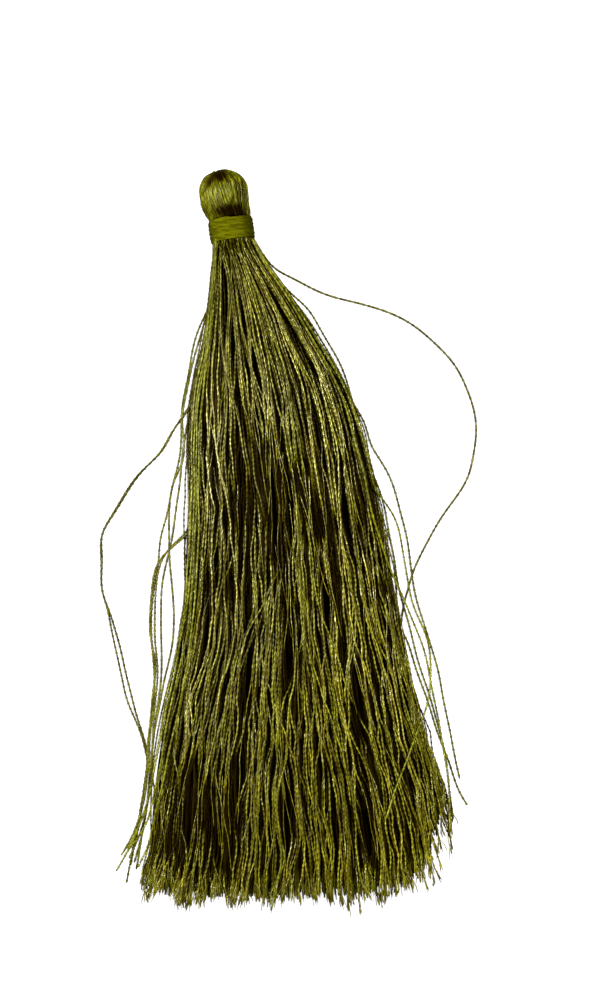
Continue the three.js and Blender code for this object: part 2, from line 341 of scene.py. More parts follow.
def thread_silk(name, green, yellow, roughness, fibre, groove, uneven, glint_scale, bulge, shine):
    """Twisted silky thread: its own shade and tint for each thread, fine fibres, and a bright sheen."""
    mat = bpy.data.materials.new(name)
    mat.use_nodes = True
    tree = mat.node_tree
    tree.nodes.clear()
    shade = node(tree, "ShaderNodeAttribute", attribute_name="shade").outputs["Fac"]
    tint = node(tree, "ShaderNodeAttribute", attribute_name="tint").outputs["Fac"]
    turn = node(tree, "ShaderNodeAttribute", attribute_name="turn").outputs["Fac"]
    spot = node(tree, "ShaderNodeTexCoord").outputs["Object"]

    # Painted light on the twist's crests and painted shade in its grooves; the painted light breaks up along
    # the thread.
    angle = times(tree, turn, 2 * math.pi)
    swell = node(tree, "ShaderNodeMath", {0: angle}, operation="COSINE").outputs["Value"]
    crest = ranged(tree, swell, groove, 1.0, from_low=-1.0)
    along = node(tree, "ShaderNodeMapping", {"Vector": spot, "Scale": glint_scale}).outputs["Vector"]
    broken = noise(tree, along, scale=1.0, detail=1.0)
    streak = ranged(tree, broken, 1 - uneven, 1 + 0.27 * uneven, from_low=0.38, from_high=0.64)
    seen = times(tree, times(tree, crest, streak), shade)

    # From brown in the shade to green or yellow in the light, a little uneven, and warmer in the shade.
    colour = mixed(tree, seen, BROWN, mixed(tree, tint, (*green, 1), (*yellow, 1)))
    blotches = noise(tree, spot, scale=90.0, detail=2.0)
    vary = ranged(tree, blotches, 0.7, 1.15, from_low=0.3, from_high=0.7)
    worn = node(tree, "ShaderNodeVectorMath", {0: colour, "Scale": vary}, operation="SCALE").outputs["Vector"]
    warmth = mixed(tree, ranged(tree, seen, 0.0, 1.0, from_high=0.32), DEEP_WARMTH, LIT_WARMTH)
    warmed = node(tree, "ShaderNodeVectorMath", {0: worn, 1: warmth}, operation="MULTIPLY").outputs["Vector"]

    # Fine fibres, and beads where the twist swells.
    fuzz = noise(tree, spot, scale=5200.0, detail=1.0)
    fibres = {"Strength": fibre, "Distance": FIBRE_DEPTH, "Height": fuzz}
    fine_bump = node(tree, "ShaderNodeBump", fibres).outputs["Normal"]
    beads = {"Strength": 1.0, "Distance": bulge, "Height": swell, "Normal": fine_bump}
    bump = node(tree, "ShaderNodeBump", beads).outputs["Normal"]

    # The sheen: none in the shade, more on the yellower threads, less towards the neck.
    up_the_frame = node(tree, "ShaderNodeSeparateXYZ", {"Vector": spot}).outputs["Y"]
    duller = ranged(tree, up_the_frame, 1.0, 0.42, from_low=DULL_FROM, from_high=DULL_TO)
    sheen = times(tree, ranged(tree, tint, 0.5 * shine, 1.7 * shine), duller)
    skin = node(tree, "ShaderNodeBsdfPrincipled", {
        "Base Color": warmed, "Normal": bump, "Specular IOR Level": times(tree, seen, sheen),
        "Specular Tint": SHEEN_TINT, "Roughness": roughness, "IOR": 1.58})
    node(tree, "ShaderNodeOutputMaterial", {"Surface": skin.outputs["BSDF"]})
    return mat


def silks():
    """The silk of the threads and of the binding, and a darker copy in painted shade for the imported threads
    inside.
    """
    outer_silk = thread_silk(
        "silk_thread", (0.156, 0.168, 0.003), (0.245, 0.223, 0.004), roughness=0.27, fibre=0.18,
        groove=0.72, uneven=0.6, glint_scale=(1500, 380, 2600), bulge=BEAD, shine=0.76)
    wound = thread_silk(
        "binding_thread", (0.073, 0.079, 0.0002), (0.091, 0.095, 0.0002), roughness=0.5, fibre=0.4,
        groove=1.0, uneven=0.45, glint_scale=(450, 2600, 900), bulge=0.0, shine=0.03)
    # The imported threads inside: the silk darkened with painted shade.
    inner = thread_silk(
        "inner_thread", (0.02, 0.018, 0.002), (0.03, 0.024, 0.002), roughness=0.6, fibre=0.3,
        groove=1.0, uneven=0.3, glint_scale=(2000, 650, 2000), bulge=0.0, shine=0.1)
    return outer_silk, wound, inner


silk, binding_silk, core_silk_in_shade = silks()


def silk_piece(name, routes, shades, tints=(0, 1), **form):
    """Threads of the bundle as one piece."""
    thread_piece(name, routes, shades, silk, "silk_thread", "thread_bundle", tints, **form)


# The skirt

# Neighbouring threads gather in locks: their places, how hard they pull, the phases of their waves, how far
# they lean, how much longer they are cut in rows, and how light they are.
LOCKS = 30
lock_pick = np.random.default_rng(11)
lock_centre = (np.arange(LOCKS) + lock_pick.uniform(0.15, 0.85, LOCKS)) / LOCKS
lock_pull = lock_pick.uniform(0.1, 0.6, LOCKS)
lock_phase = lock_pick.uniform(0, 2 * math.pi, (LOCKS, 5))
lock_lean = lock_pick.normal(0, 5, LOCKS)
lock_cut = lock_pick.uniform(-5, 3, LOCKS)
lock_tone = lock_pick.uniform(0.6, 1.15, LOCKS)
# At the cut the threads close up into small tufts, the tightest at the right end: place, how tightly, and
# how many rows longer.
TUFTS = 46
tuft_pick = np.random.default_rng(23)
tuft_centre = (np.arange(TUFTS) + tuft_pick.uniform(0.15, 0.85, TUFTS)) / TUFTS
tuft_draw = np.where(tuft_centre > 0.82, 0.95, tuft_pick.uniform(0.2, 0.95, TUFTS))
tuft_cut = tuft_pick.uniform(-9, 5, TUFTS)
# How far threads wander sideways, for a lock and for each thread: length of a wave and its size, in pixels.
LOCK_WAVES = [(260, 1.8), (120, 1.2)]
THREAD_WAVES = [(78, 0.8), (36, 0.45), (21, 0.2)]
FREE_WAVES = [(540, 8.0), (230, 3.0)]
# The share of the outer threads that lie on top, down the rows.
ON_TOP = [(240, 0.2), (280, 0.16), (320, 0.16), (400, 0.25), (500, 0.34), (700, 0.47), (860, 0.6), (920, 0.6)]
on_top_at = rows(ON_TOP)
GOLDEN_STEP = 0.618034  # neighbours lie at different levels
OUTER, OUTER_PIECES, OUTER_POINTS = 228, 4, 352  # outer threads, the pieces they make up, points along each
CROSSING_LEVEL = 0.72  # threads above this level may cross their neighbours
LONG_SHARE = 0.05  # of the outer threads are cut too long
SLANT = 22  # pixels that the lower threads left of the middle drift to the left
TIP_ROWS = 60  # above the cut, where the threads open or close up
PUSH, REACH = 1.15, 3.2  # how far a gap pushes its threads aside, and how far off, in the gap's half-widths
BINDING_ROWS = 34  # below the binding, where the round bundle opens into the flat skirt
# What starts on the way down: its first row, and the rows that it takes to grow.
SWAY_FROM = (330, 120)
WANDER_FROM = (250, 90)
LOCK_FROM = (300, 200)
LEAN_FROM = (440, 440)
SLANT_FROM = (560, 420)
# Depths in the bundle, from 0 to 1: the deepest outer thread, and what being on top and its level add.
OUTER_DEPTH, TOP_LIFT, LEVEL_LIFT = 0.56, 0.32, 0.13
# Light on the outer threads that lie deep: anywhere, at most more, at the tip, and near the binding.
DEEP_LIGHT, DEEP_MORE, TIP_LIGHT, ROOT_LIGHTS = 0.04, 0.14, 0.75, [0.12, 0.3, 0.7]
RIM, RIM_FADE = 0.045, 0.04  # shares of the width: some deep threads are lit as far in as this
DARKEST, LIGHTEST = 0.25, 1.5  # what a dark or light patch can do to a shade
BRIGHTEST = 0.96


def width_at(row):
    """The skirt's width in pixels."""
    return right_at(row) - left_at(row)


def below(row, first, length):
    """0 down to the first row, then growing smoothly to 1."""
    return smooth((row - first) / length)


def near_cut(row, above, length):
    """0 down to some rows above the thread's own end, then growing smoothly to 1."""
    return smooth((row - row[-1] + above) / length)


def waves(row, table, phases):
    """The sum of a table's waves down the rows."""
    turns = [row / length * 2 * math.pi + phase for (length, _), phase in zip(table, phases)]
    return sum(size * np.sin(turn) for (_, size), turn in zip(table, turns))


def gaps_open(px, row):
    """The thread's place with the dark gaps pushed open on its way."""
    for gx, gy, long_half, wide_half in GAPS:
        gu = (gx - left_at(gy)) / width_at(gy)
        away = px - (left_at(row) + width_at(row) * gu)
        window = np.exp(-(((row - gy) / long_half) ** 4))
        push = wide_half * PUSH * np.exp(-((away / (wide_half * REACH)) ** 2)) * window
        px = px + (np.sign(np.interp(gy, row, px) - gx) or 1.0) * push
    return px


def skirt_route(u, px, depth, row, splay, root_depth):
    """A thread of the skirt from its places on the plan and its depth, round at the binding."""
    sway = 0.03 * below(row, *SWAY_FROM) * np.sin(row / rng.uniform(16, 60) + rng.uniform(0, ANY_PHASE))
    edge = rng.uniform(-0.014, 0.026) + splay * sway
    at = np.clip((px - left_at(row)) / width_at(row), edge, 1 - edge)
    x, y = plan(left_at(row) + width_at(row) * at, row)
    z = surface(at, row, np.clip(depth, 0, 1.04))
    round_height = BOUND * math.sqrt(max(0, 1 - (2 * u - 1) ** 2))
    root = from_neck((2 * u - 1) * BOUND, ROOT_ALONG, (2 * root_depth - 1) * round_height)
    hold = smooth(1 - (row - ROOT_ROW) / BINDING_ROWS)
    tail = near_cut(row, TIP_ROWS, TIP_ROWS) ** 2
    x = x + (root[0] - x[0]) * hold + rng.normal() * 0.5 * splay * tail
    y = y + (root[1] - y[0]) * hold
    z = z + (root[2] - z[0]) * hold - abs(rng.normal()) * 0.8 * splay * tail
    return np.stack([x, y, np.maximum(REST, z)], -1)


def tufted(px, row):
    """The thread's places and rows with its end drawn into the nearest tuft."""
    across = (px[-1] - left_at(row[-1])) / width_at(row[-1])
    tuft = np.argmin(np.abs(tuft_centre - across))
    off = (tuft_centre[tuft] - across) * width_at(row[-1])
    px = px + off * tuft_draw[tuft] * near_cut(row, TIP_ROWS, TIP_ROWS)
    longer = tuft_cut[tuft] - 0.9 * abs(off) * tuft_draw[tuft]
    return px, ROOT_ROW + (row - ROOT_ROW) * (1 + longer / (row[-1] - ROOT_ROW))


def crossing(u, level, row):
    """How far some of the upper threads come from the side, over their neighbours, to their own place."""
    if level < CROSSING_LEVEL or rng.uniform() < 0.5:
        return 0.0
    if rng.uniform() < 0.5:
        first, side = rng.uniform(255, 350), -1
    else:
        first, side = rng.uniform(480, 640), 1 if u < 0.5 else -1
    last = first + rng.uniform(110, 220)
    return side * rng.uniform(0.04, 0.17) * (1 - smooth((row - first) / (last - first)))


def outer_cut(u, lock):
    """The row where an outer thread is cut, a little uneven, and more so at the right end."""
    ragged = 2.4 + 2.6 * smooth((u - 0.82) / 0.12)
    cut = cut_at(u) + lock_cut[lock] + rng.normal() * ragged
    if rng.uniform() < LONG_SHARE:
        cut += rng.uniform(5, 16)
    return cut


def outer_way(u, level, lock, row, wander):
    """An outer thread's places across the photo: drawn to its lock, wavy, and spread further down."""
    cut = row[-1]
    free = below(row, *WANDER_FROM) * np.clip(width_at(row) / 230, 0.35, 1.15)
    # It is drawn to its lock, now more and now less. At the cut a tight lock closes up and a slack one opens.
    pull = lock_pull[lock] * (0.5 + 0.5 * np.sin(row / 46 + lock_phase[lock, 0])) * below(row, *LOCK_FROM)
    pull = pull + near_cut(row, 90, 90) * (0.4 if lock_pull[lock] > 0.3 else -0.25)
    px = left_at(row) + width_at(row) * (u + (lock_centre[lock] - u) * pull)
    # It wanders with its lock, and on its own.
    px = px + free * waves(row, LOCK_WAVES, lock_phase[lock, 1:3]) + below(row, *LEAN_FROM) * lock_lean[lock]
    px = px + free * waves(row, THREAD_WAVES, rng.uniform(0, ANY_PHASE, 3)) * rng.uniform(0.5, 1.4)
    px = px + free * waves(row, FREE_WAVES, rng.uniform(0, ANY_PHASE, 2)) * rng.choice([0.15, 0.5, 1.0])
    # Further down it turns off to a side.
    turns_off = rng.uniform(300, 640)
    spread = (u - 0.45) * 4 * u * (1 - u) * rng.uniform(0, 55)
    px = px + (wander * rng.normal() + spread) * np.clip(row - turns_off, 0, None) / (cut - turns_off)
    px = px - SLANT * below(row, *SLANT_FROM) * smooth(u / 0.28) * smooth((0.66 - u) / 0.3)
    return gaps_open(px + width_at(row) * crossing(u, level, row), row)


def outer_light(u, level, lock, px, row):
    """How far up an outer thread lies along its way (0 to 1), and its shade there."""
    rise = 0.07 * np.sin(row / 38 + lock_phase[lock, 3])
    rise = rise + 0.1 * np.sin(row / rng.uniform(14, 40) + rng.uniform(0, ANY_PHASE))
    tip = near_cut(row, 30, 24)
    patch = patch_at(PATCHES, px, row) * (1 - tip) + 0.25 * tip
    top = smooth((level + rise + 0.75 * np.minimum(patch, 0.1) - 1 + on_top_at(row) + 0.22) / 0.3)
    # A deep thread is dark with painted shade, but painted light lifts its tip, and some threads at the root
    # and at the skirt's rim.
    root = smooth((280 - row) / 30) * rng.choice(ROOT_LIGHTS)
    rim = (0.1 + 0.6 * (5 * level % 1)) * smooth((RIM - min(u, 1 - u)) / RIM_FADE)
    deep = DEEP_LIGHT + DEEP_MORE * (3 * level % 1) ** 2
    lit = deep + (1 - deep) * (top + (1 - top) * np.maximum(np.maximum(TIP_LIGHT * tip, root), rim))
    tone = rng.uniform(0.3, 1.1) * lock_tone[lock]
    shade = tone * lit * np.clip(1 + (1.2 - 0.8 * top) * patch, DARKEST, LIGHTEST)
    # Painted glints: each thread is lighter in stretches of its own along its way.
    glints = 1 + 0.26 * np.sin(row / (6 + 7 * level) + 50 * level)
    return top, np.minimum(shade * glints, BRIGHTEST)


def outer_thread(u, level, wander):
    """One of the threads that show. level is 0 for one that lies deep and 1 for one on top."""
    lock = np.argmin(np.abs(lock_centre - u))
    row = np.linspace(ROOT_ROW, outer_cut(u, lock), OUTER_POINTS)
    px, row = tufted(outer_way(u, level, lock, row, wander), row)
    top, shade = outer_light(u, level, lock, px, row)
    depth = OUTER_DEPTH + TOP_LIFT * top + LEVEL_LIFT * level
    return skirt_route(u, px, depth, row, splay=0.5, root_depth=0.84 + 0.16 * level), shade


def outer_threads():
    """The outer threads in a random order, so that each piece has some from all over the skirt."""
    threads = []
    for i in range(OUTER):
        u = 0.004 + 0.992 * (i + rng.uniform(0.1, 0.9)) / OUTER
        level = (i * GOLDEN_STEP + rng.uniform(-0.08, 0.08)) % 1
        threads.append(outer_thread(u, level, wander=20 if level > 0.9 else 7))
    return [threads[k] for k in rng.permutation(OUTER)]


def inner_threads(count, points, depths, open_gaps, jitter, shades):
    """A plainer layer that shows only between the outer threads, and at the tips."""
    routes, tones = [], []
    for i in range(count):
        u = 0.01 + 0.98 * (i + 0.5 + rng.uniform(-jitter, jitter)) / count
        cut = cut_at(u) - 4 + rng.normal() * 2.4
        row = np.linspace(ROOT_ROW, cut, points)
        px = left_at(row) + width_at(row) * u
        if open_gaps:
            px = gaps_open(px, row)
        depth = rng.uniform(*depths) + 0.02 * np.sin(row / 60 + rng.uniform(0, ANY_PHASE))
        routes.append(skirt_route(u, px, depth, row, 0.5 * jitter, depth[0]))
        # Painted shade keeps these threads dark, and painted light lifts them near their tips.
        tones.append(rng.uniform(*shades) + rng.uniform(0.3, 0.9) * near_cut(row, 26, 22))
    return routes, tones


plain = dict(lobe=LOBE, twisted=False)
outer = outer_threads()
for part in range(OUTER_PIECES):
    routes, shades = zip(*outer[part * OUTER // OUTER_PIECES:(part + 1) * OUTER // OUTER_PIECES])
    silk_piece(f"skirt_threads_{part + 1}", routes, shades, wide=WIDE, narrow=NARROW, lobe=LOBE)

middle = inner_threads(190, points=48, depths=(0.3, 0.62), open_gaps=True, jitter=0.9, shades=(0.01, 0.06))
silk_piece("inner_threads", *middle, wide=0.21, narrow=0.19, **plain)
under = inner_threads(180, points=34, depths=(0.02, 0.34), open_gaps=False, jitter=0.1, shades=(0, 0.02))
silk_piece("under_threads", *under, wide=0.35, narrow=0.33, **plain)


def frayed(routes):
    """Short fibres that open out of the threads' cut ends."""
    fibres = []
    for route in routes:
        ahead = route[-1] - route[-6]
        ahead /= np.linalg.norm(ahead)
        for _ in range(3):
            start = route[-rng.integers(5, 12)]
            aside = np.array([rng.normal() * 0.42, 0, abs(rng.normal()) * 0.15])
            tip = route[-1] + ahead * rng.uniform(-0.3, 1.1) + aside
            way = np.linspace(0, 1, 6)[:, None]
            fibre = start + (tip - start) * way + aside * 0.3 * np.sin(way * math.pi)
            fibre[:, 2] = np.maximum(fibre[:, 2], 0.1)
            fibres.append(fibre)
    return fibres


fibres = frayed([route for route, _ in outer])
silk_piece("frayed_tips", fibres, rng.uniform(0.2, 0.85, len(fibres)), wide=0.1, narrow=0.07, **plain)


# Fine hairs that stray over the skirt

HAIR_POINTS = 30
HAIR_RISE = 0.6  # how far a hair's middle stands off the threads
DARK_PATCH = -0.45  # places darker than this have several hairs


def stray_hair(px, row, lean, long):
    """A fine hair over the skirt's threads: its middle in the photo, its lean off them, and its length."""
    down = np.linspace(row - long / 2, row + long / 2, HAIR_POINTS)
    at = (px - left_at(row)) / width_at(row)
    drift = lean * (down - row) + 0.6 * waves(down, THREAD_WAVES, rng.uniform(0, ANY_PHASE, 3))
    at = np.clip(at + drift / width_at(down), 0.02, 0.98)
    x, y = plan(left_at(down) + width_at(down) * at, down)
    z = surface(at, down, 0.93) + HAIR_RISE * np.sin(np.linspace(0, math.pi, HAIR_POINTS))
    return np.stack([x, y, z], -1)


def stray_hairs():
    """Hairs at each dark or light place."""
    hairs = []
    for x, y, half_wide, half_down, amount in PATCHES:
        for _ in range(4 if amount < DARK_PATCH else 1):
            px = x + rng.normal() * half_wide * 0.8
            row = np.clip(y + rng.normal() * half_down * 0.7, 330, 820)
            hairs.append(stray_hair(px, row, rng.normal() * 0.09, rng.uniform(50, 130)))
    return hairs


hairs = stray_hairs()
hair_shades = rng.uniform(0.35, 1.0, len(hairs))
silk_piece("stray_hairs", hairs, hair_shades, tints=(0.5, 1), wide=0.08, narrow=0.06, lobe=LOBE)


# Loose threads

# Each route in pixels of the photo, from where it leaves the skirt, and whether it lies over the skirt.
LOOSE = [
    dict(over=False, px=[
        (268, 262), (276, 270), (290, 277), (310, 286.5), (330, 294.5), (348, 299), (372, 305),
        (395, 312), (415, 324), (436, 342), (455, 362), (468, 385), (476, 410), (477, 435), (475, 450),
        (470, 475), (458, 496), (445, 515), (430, 540), (415, 570), (408, 590), (402, 612), (404, 650),
        (412, 700), (424, 760), (436, 830)]),
    dict(over=False, px=[
        (286, 286), (296, 298), (304, 302), (309, 308), (317, 321), (325, 336), (335, 354), (346, 376),
        (353, 398), (360, 430), (370, 470), (380, 520), (390, 570), (400, 620), (412, 680), (428, 750),
        (446, 822)]),
    dict(over=False, px=[
        (290, 294), (299, 305), (307, 317), (314, 328), (322, 341), (331, 355), (341, 375), (352, 398),
        (358, 440), (366, 480), (378, 540), (390, 600), (404, 660), (420, 740), (438, 838)]),
    dict(over=False, px=[
        (340, 375), (354, 404), (363, 417), (369, 427), (369, 438), (378, 453), (388, 472), (396, 493),
        (401, 514), (406, 534), (414, 575), (417, 598), (427, 629), (433, 653), (440, 679), (448, 718),
        (456, 752), (461, 781)]),
    dict(over=True, px=[
        (384, 500), (401, 530), (408, 582), (414, 608), (428, 640), (433, 674), (427, 710), (407, 756),
        (395, 789), (386, 817)]),
    dict(over=False, px=[
        (408, 640), (420, 680), (430, 710), (440, 737), (451, 765), (459, 789), (469, 808)]),
    dict(over=False, px=[
        (372, 470), (384, 500), (392, 540), (397, 580), (408, 622), (422, 668), (436, 716), (447, 765),
        (455, 822)]),
    dict(over=True, px=[
        (350, 420), (362, 470), (374, 520), (392, 570), (410, 615), (424, 650), (434, 690), (443, 740),
        (449, 790), (451, 833)]),
    dict(over=False, px=[
        (196, 380), (191, 400), (180, 419), (171, 430), (166, 443), (157, 456), (143, 468), (130, 484),
        (118, 502), (108, 519), (98, 534), (99, 547), (99.5, 564), (100, 593), (107, 609), (108, 623),
        (114, 645), (119, 673), (123, 697), (132, 718), (140, 737), (145, 757), (152, 780), (156, 810),
        (160, 850), (163, 884)]),
    dict(over=False, px=[
        (196.4, 380), (191.4, 400.3), (180.4, 419.4), (171.3, 430.4), (166.4, 443.2), (157.3, 456.4),
        (143.3, 468.4), (130.4, 484.3), (118.4, 502.2), (108.4, 519.2), (98.5, 534.2), (99.5, 547),
        (100, 564), (100.5, 593), (107.3, 609), (112, 630), (119, 652), (125, 680), (131, 700),
        (138, 722), (144, 742), (146, 764), (142, 790), (137, 830), (130, 868)]),
    dict(over=False, px=[
        (213, 270), (212, 283), (209, 307), (202, 317), (195, 338), (189, 367), (183, 391), (180, 414),
        (179, 446), (178, 464), (171, 490), (166, 516), (159, 537), (157, 561), (153, 575), (152, 595),
        (150, 619), (151, 648), (154, 669), (152, 700), (148, 740), (146, 780), (136, 830), (124, 886)]),
    dict(over=False, px=[
        (213, 262), (212, 276), (210, 300), (205, 315), (199, 334), (192, 360), (186, 388), (182, 412),
        (183, 440), (182, 462), (173, 478), (168, 501), (167, 519), (169, 545), (170, 575), (172, 597),
        (173, 619), (168, 660), (160, 700), (152, 745), (148, 790), (141, 835), (134, 866)]),
    dict(over=False, px=[
        (196, 480), (192, 527), (188, 532), (176, 543), (163, 555), (155, 564), (151, 580), (150, 616),
        (149, 640), (155, 666), (150, 700), (147, 750), (144, 800), (131, 836), (119, 858)]),
    dict(over=False, px=[
        (198, 476), (194, 522), (190, 530), (178, 541), (165, 552), (158, 562), (155, 580), (153, 612),
        (153, 640), (158, 668), (154, 705), (150, 752), (147, 802), (138, 842), (128, 862)]),
    dict(over=False, px=[
        (200, 350), (196, 372), (191, 392), (187, 415), (184, 440), (181, 470), (176, 500), (172, 530),
        (165, 560), (161, 590), (160, 620), (161, 650), (158, 690), (152, 740), (148, 790), (140, 840),
        (134, 872)]),
    dict(over=True, px=[
        (190, 590), (180, 640), (170, 690), (160, 740), (152, 780), (141, 820), (126, 852)]),
    dict(over=True, px=[
        (192, 600), (183, 650), (172, 700), (163, 750), (153, 795), (143, 830), (125, 858)]),
    dict(over=True, px=[
        (186, 600), (176, 650), (166, 700), (157, 750), (149, 790), (136, 835), (115.5, 875)]),
    dict(over=True, px=[
        (194, 620), (186, 670), (176, 720), (166, 770), (156, 810), (147, 845), (137, 870)]),
]


LOOSE_REST = 0.22  # height of a loose thread's middle on the surface
OVER_BESIDE, OVER_SKIRT = 2.6, 1.1  # how far one that lies over the skirt stands off, beside it and on it
SIDE_FADE, OVER_FADE = 2.5, 1.5  # how far off the skirt these heights die away
LANE_STEP = 14  # rows between the points that follow the skirt
KINK = 2.2  # length over which a route is freed of its kinks
LOOSE_WAVES = [(31, 0.15), (13, 0.07)]  # length of a wave and its size
WAVE_TURNS = (6.283, 5.1)  # radians in a wave's length, across and up the photo
FAR_OUT = (0, 8, 9)  # the rows of LOOSE that stray far out


def loose_route(over, px):
    """A loose thread: it follows the skirt from the binding, then its own way over the surface."""
    first_px, first_row = px[0]
    row = np.linspace(240, first_row, max(2, int((first_row - 240) / LANE_STEP) + 1))[:-1]
    u_first = np.clip((first_px - left_at(first_row)) / width_at(first_row), 0.02, 0.98)
    lane = left_at(row) + width_at(row) * u_first
    track = np.vstack([np.stack([lane, row], -1), np.array(px, float)])
    x, y = plan(track[:, 0], track[:, 1])
    u = (track[:, 0] - left_at(track[:, 1])) / width_at(track[:, 1])
    out = np.clip(np.maximum(-u, u - 1) * width_at(track[:, 1]) * PIXEL, 0, None)
    held = (1 - settled_at(track[:, 1])) * NECK[2]
    beside = LOOSE_REST + held * np.exp(-out / SIDE_FADE)
    beside = beside + (OVER_BESIDE * np.exp(-out / OVER_FADE) if over else 0)
    on = surface(np.clip(u, 0, 1), track[:, 1], 1.0 if over else 0.5)
    on = np.maximum(on, LOOSE_REST) + (OVER_SKIRT if over else 0)
    z = np.where(out > 0, beside, on)
    return soften(spline(np.stack([x, y, z], -1), STEP), STEP, KINK)


def wavy(route):
    """A loose thread's route with small waves in the plane of the photo."""
    run = np.arange(len(route)) * STEP
    for length, size in LOOSE_WAVES:
        for axis, turn in enumerate(WAVE_TURNS):
            wave = size * np.sin(run / length * turn + rng.uniform(0, ANY_PHASE))
            route[:, axis] += wave * smooth(run / 12)
    return route


def loose_shade(k):
    """Those that stray far out are thinly lit, and those over the skirt well."""
    if k in FAR_OUT:
        return 0.34
    return 0.85 if LOOSE[k]["over"] else 0.5


loose_routes = [wavy(loose_route(**row)) for row in LOOSE]
loose_shades = [loose_shade(k) for k in range(len(LOOSE))]
silk_piece("loose_threads", loose_routes, loose_shades, tints=(-0.4, 0.2),
           wide=0.27, narrow=0.2, lobe=LOBE, at_neck=1.0)


# The head

# Places are along the neck's axis, from the middle of the binding.
FOLD_CENTRE = 7.4  # the point that the fold's directions start from
DOME_FROM, DOME_HIGH = 8.0, 4.15  # where the round top starts, and its height
HEAD_HALF = 4.8  # half-width of the head at its widest
FLATTER = 0.96  # the head's height is this share of its width
FRONT = 95  # degrees: threads that start this far round to each side are the front ones
HEAD_STEP = 0.4  # between the points of a head thread
HEAD_FOOT = -5.2  # from the fold's centre down to where the head's threads start, inside the binding
UNDER_SKIN, FOLD_SINK = 0.06, 0.12  # how deep a head thread lies, and how much deeper in the fold
FOLD_SHARE = 0.16  # of a thread's way, where it sinks into the fold
# Painted shade darkens a head thread towards the fold.
FOLD_DARK = 0.22  # of a thread's way, where it grows dark towards the fold


def head_radius(along):
    """Half-width of the head: a slow swell, then a round top."""
    swell = HEAD_HALF - 0.023 * (DOME_FROM - along) ** 2
    dome = HEAD_HALF * np.sqrt(np.clip(1 - ((along - DOME_FROM) / DOME_HIGH) ** 2, 0, 1))
    return np.where(along < DOME_FROM, swell, dome)


def head_shift(along):
    """How far the head sits to the left of the binding's axis."""
    return 0.4 * smooth((along - 2.5) / 3)


def on_head(direction, sink=0.0):
    """The head's surface in a direction from its centre (side, along, height)."""
    d = direction / np.linalg.norm(direction, axis=-1, keepdims=True)
    low = np.zeros(d.shape[:-1])
    high = np.full(d.shape[:-1], 8.0)
    for _ in range(30):  # the distance is halved in until it is exact
        r = (low + high) / 2
        along = FOLD_CENTRE + r * d[..., 1]
        inside = np.hypot(r * d[..., 0], r * d[..., 2] / FLATTER) < head_radius(along)
        inside &= along < DOME_FROM + DOME_HIGH
        low = np.where(inside, r, low)
        high = np.where(inside, high, r)
    r = low - sink
    along = FOLD_CENTRE + r * d[..., 1]
    place = from_neck(r * d[..., 0] - head_shift(along), along, r * d[..., 2])
    place[..., 2] = np.maximum(place[..., 2], REST)
    return place


def unit(v):
    """The direction of v, of length 1."""
    v = np.asarray(v, float)
    return v / np.linalg.norm(v)


# Where the threads meet in the fold on top, as directions: from its near left end, over the top, to the back.
FOLD = [
    unit((-4.3, -0.3, 1.6)), unit((-3.3, 1.2, 3.0)), unit((-1.9, 2.8, 3.1)),
    unit((-0.3, 4.3, 1.9)), unit((0.8, 4.5, -0.6)), unit((1.4, 3.2, -3.2)),
]


def fold_at(w):
    """The fold's direction at a share of its way, 0 at the near left end and 1 at the back."""
    w = np.clip(w, 0, 1) * (len(FOLD) - 1)
    k = min(int(w), len(FOLD) - 2)
    return unit(FOLD[k] + (FOLD[k + 1] - FOLD[k]) * (w - k))


def head_route(angle, points=46):
    """From the binding over the head into the fold. angle is 0 towards the viewer and grows to the right."""
    turned = (angle + 180) % 360 - 180
    if abs(turned) <= FRONT:
        w = (turned + FRONT) / (2 * FRONT)
    else:
        w = 1 - ((turned - FRONT) % 360) / (360 - 2 * FRONT)
    a = math.radians(turned)
    start = unit((math.sin(a) * BOUND, HEAD_FOOT, math.cos(a) * BOUND))
    end = fold_at(w)
    between = math.acos(float(np.clip(start @ end, -1, 1)))
    t = np.linspace(0, 1, points)
    path = np.outer(np.sin((1 - t) * between), start) + np.outer(np.sin(t * between), end)
    wave = 0.06 * rng.normal() * np.sin(t * 9 + rng.uniform(0, 6))
    sink = UNDER_SKIN + FOLD_SINK * smooth((t - (1 - FOLD_SHARE)) / FOLD_SHARE) + wave
    return resample(on_head(path / math.sin(between), sink), HEAD_STEP)


def head_shade(route):
    """A head thread's shade along its route: painted shade in the fold and above the binding, and painted
    light across the top.
    """
    px = route[:, 0] / PIXEL + ORIGIN_PX[0]
    row = ORIGIN_PX[1] - route[:, 1] / PIXEL
    left = np.linspace(1, 0, len(route))
    patch = patch_at(HEAD_PATCHES, px, row) * rng.uniform(0.6, 1.1)
    shade = rng.uniform(0.3, 1.25) * np.clip(1 + patch, 0, 1.5)
    return shade * (0.25 + 0.75 * smooth(left / FOLD_DARK))


def head_piece(name, angles, wide, narrow):
    """Threads of the head that start at these angles round the binding."""
    routes = [head_route(angle + rng.uniform(-0.9, 0.9)) for angle in angles]
    shades = [head_shade(route) for route in routes]
    silk_piece(name, routes, shades, tints=(-0.6, 0.25), wide=wide, narrow=narrow, lobe=1.6)


head_piece("head_threads", np.linspace(-105, 105, 116), wide=0.19, narrow=0.15)
head_piece("head_threads_behind", np.linspace(101, 259, 104), wide=0.38, narrow=0.3)

CORE_ENDS = np.array([-2.9, 11.7])  # along the neck's axis
CORE_SIDES = 48


